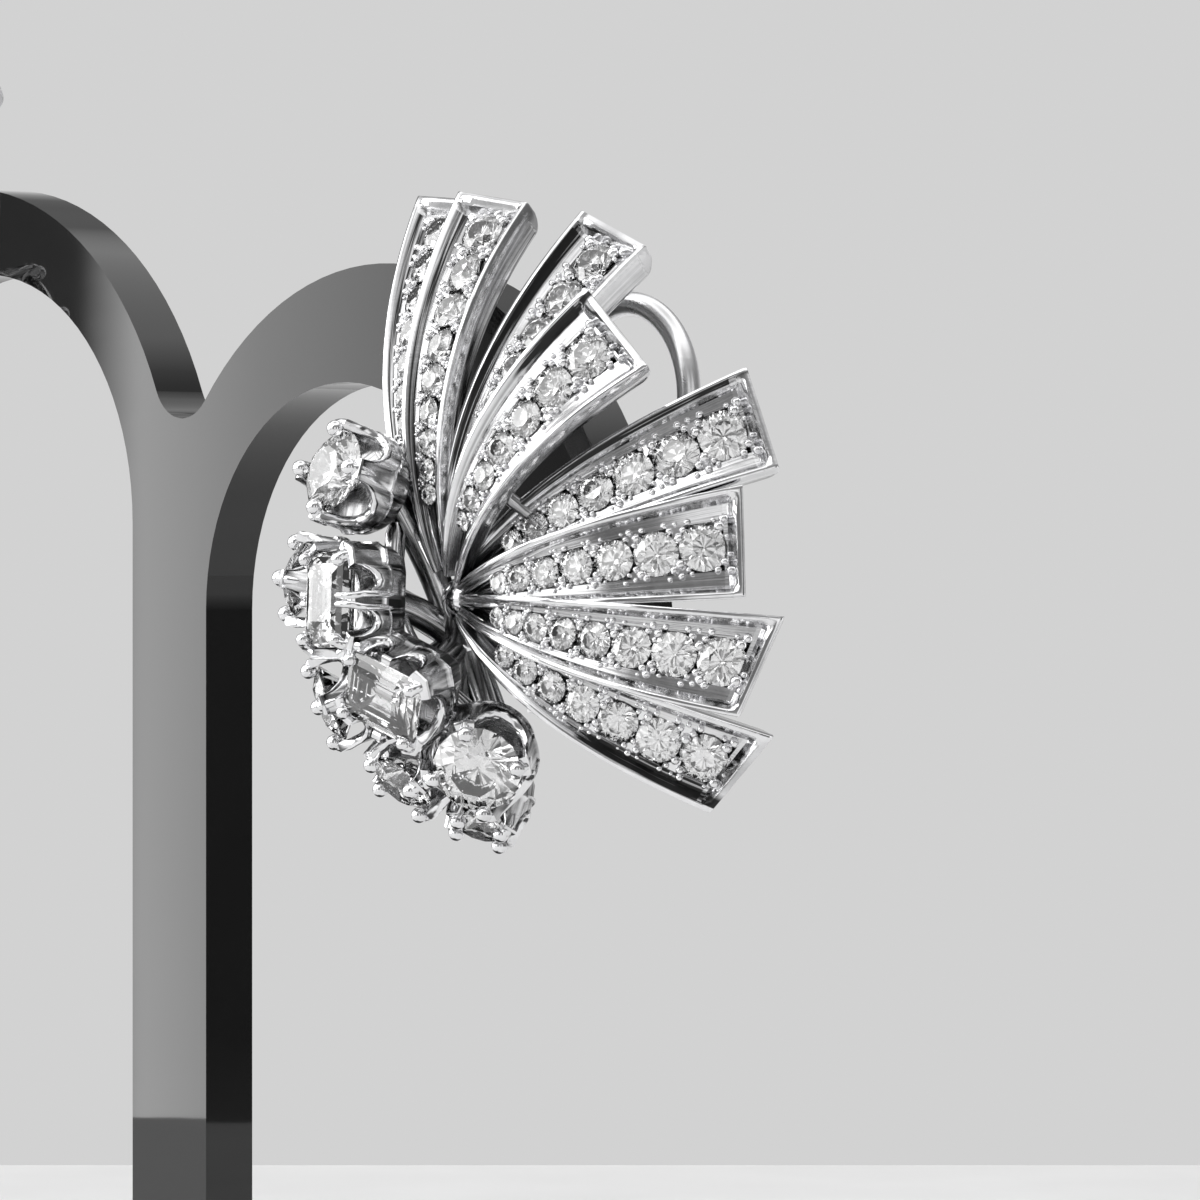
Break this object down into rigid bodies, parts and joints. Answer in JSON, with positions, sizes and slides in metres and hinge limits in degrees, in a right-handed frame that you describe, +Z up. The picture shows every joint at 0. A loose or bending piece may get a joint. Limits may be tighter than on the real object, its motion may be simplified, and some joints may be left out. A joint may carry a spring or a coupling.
{
  "type": "pair of fan earrings on a display stand",
  "caption": "Pair of clip earrings, each a fan of stone-set rays spreading from a cluster of claw-set stones, held on the two arms of a plain display stand.",
  "frame": {"origin": "on the floor, at the underside of the foot, under the middle of the post's front face", "axes": "+Z up, the earrings face -Y, +X toward the lower arm, which holds the right earring"},
  "size_m": [0.0968, 0.034, 0.069],
  "materials": {
    "acrylic": "glossy",
    "white_metal": "polished",
    "stones": "clear, cut"
  },
  "bodies": {
    "stand": {"stand_plate": "acrylic", "stand_foot": "acrylic", "right_frame": "white_metal", "right_clip_bracket": "white_metal", "right_ray_stones_1": "stones", "right_ray_stones_2": "stones", "right_ray_stones_3": "stones", "right_ray_stones_4": "stones", "right_ray_stones_5": "stones", "right_ray_stones_6": "stones", "right_ray_stones_7": "stones", "right_ray_stones_8": "stones", "right_cluster_stone_1": "stones", "right_cluster_stone_2": "stones", "right_cluster_stone_3": "stones", "right_cluster_stone_4": "stones", "right_cluster_stone_5": "stones", "right_cluster_stone_6": "stones", "right_cluster_stone_7": "stones", "right_cluster_stone_8": "stones", "left_frame": "white_metal", "left_clip_bracket": "white_metal", "left_ray_stones_1": "stones", "left_ray_stones_2": "stones", "left_ray_stones_3": "stones", "left_ray_stones_4": "stones", "left_ray_stones_5": "stones", "left_ray_stones_6": "stones", "left_ray_stones_7": "stones", "left_ray_stones_8": "stones", "left_cluster_stone_1": "stones", "left_cluster_stone_2": "stones", "left_cluster_stone_3": "stones", "left_cluster_stone_4": "stones", "left_cluster_stone_5": "stones", "left_cluster_stone_6": "stones", "left_cluster_stone_7": "stones", "left_cluster_stone_8": "stones"},
    "right_clip": {"right_clip": "white_metal"},
    "left_clip": {"left_clip": "white_metal"}
  },
  "joints": [
    {"name": "right_clip_hinge", "type": "hinge", "parent": "stand", "child": "right_clip", "pos_m": [0.03257, 0.0007, 0.0344], "axis": [-1, 0, 0], "range_deg": [0, 75], "stiffness_Nm_per_rad": 0.002, "springref_deg": -34.38},
    {"name": "left_clip_hinge", "type": "hinge", "parent": "stand", "child": "left_clip", "pos_m": [-0.03431, 0.0007, 0.046], "axis": [-0.9703, 0, 0.2419], "range_deg": [0, 75], "stiffness_Nm_per_rad": 0.002, "springref_deg": -34.38}
  ]
}
